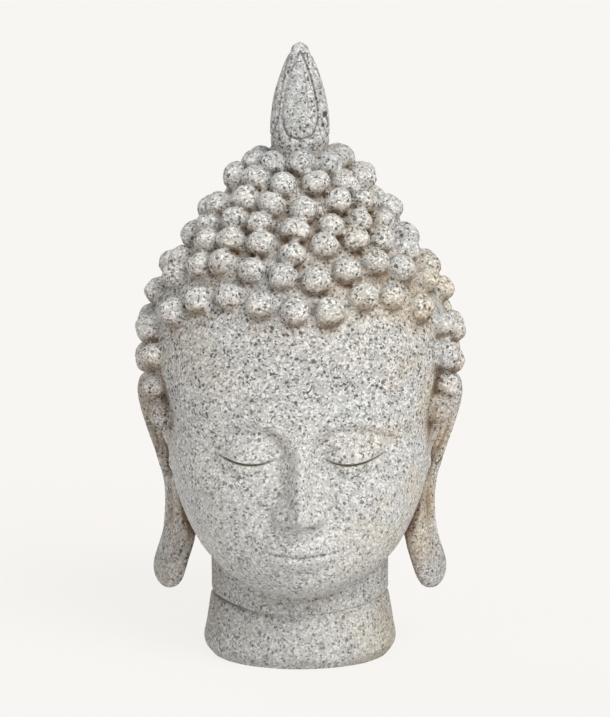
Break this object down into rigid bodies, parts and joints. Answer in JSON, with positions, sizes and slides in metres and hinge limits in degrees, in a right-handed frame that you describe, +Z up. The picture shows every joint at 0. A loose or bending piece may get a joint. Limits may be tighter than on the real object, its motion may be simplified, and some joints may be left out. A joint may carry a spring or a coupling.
{
  "type": "buddha head sculpture",
  "caption": "Buddha head cast in one piece of speckled granite-look stone: calm closed-eyed face, snail curls, lotus-bud finial, long ear lobes and a short neck cut flat to stand on.",
  "frame": {"origin": "middle of the neck's flat underside, on the surface the head stands on", "axes": "+Z up; the face looks along -Y; +X points to the sculpture's own left ear"},
  "size_m": [0.1493, 0.1612, 0.28],
  "materials": {
    "granite_stone": "matt cast stone with white, grey and black flecks, and ochre dirt left in the hollows"
  },
  "bodies": {
    "root": {"buddha_head": "granite_stone"}
  },
  "joints": []
}
